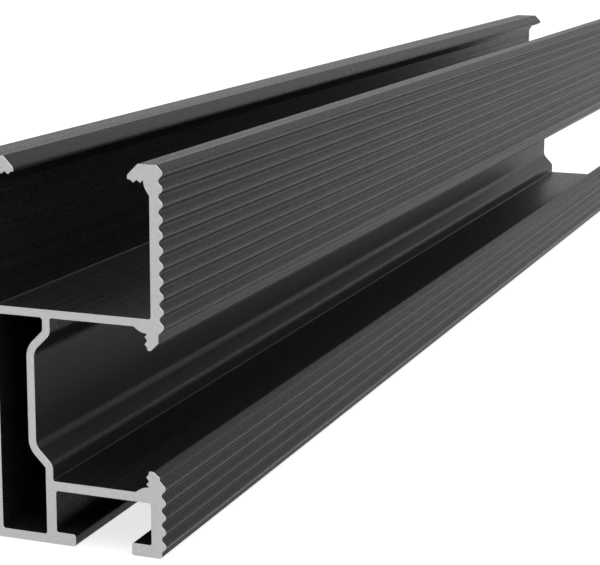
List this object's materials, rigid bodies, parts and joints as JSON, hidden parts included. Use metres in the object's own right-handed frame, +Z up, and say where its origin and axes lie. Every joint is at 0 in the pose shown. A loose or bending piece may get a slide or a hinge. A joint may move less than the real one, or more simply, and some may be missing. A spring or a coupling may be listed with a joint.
{
  "type": "mounting rail",
  "caption": "Extruded aluminium mounting rail with a clamp channel on top, a second one on one side, an outward clamp lip, a closed chamber and a bolt slot in the base.",
  "frame": {"origin": "on the floor under the middle of the rail, at the bottom centre of its box", "axes": "+Y along the rail, +X across it towards the side channel, +Z up from the base to the top slot"},
  "size_m": [0.039, 0.395, 0.07],
  "materials": {
    "anodised_aluminium": "black anodised, with bare sawn ends"
  },
  "bodies": {
    "root": {"mounting_rail": "anodised_aluminium"}
  },
  "joints": []
}
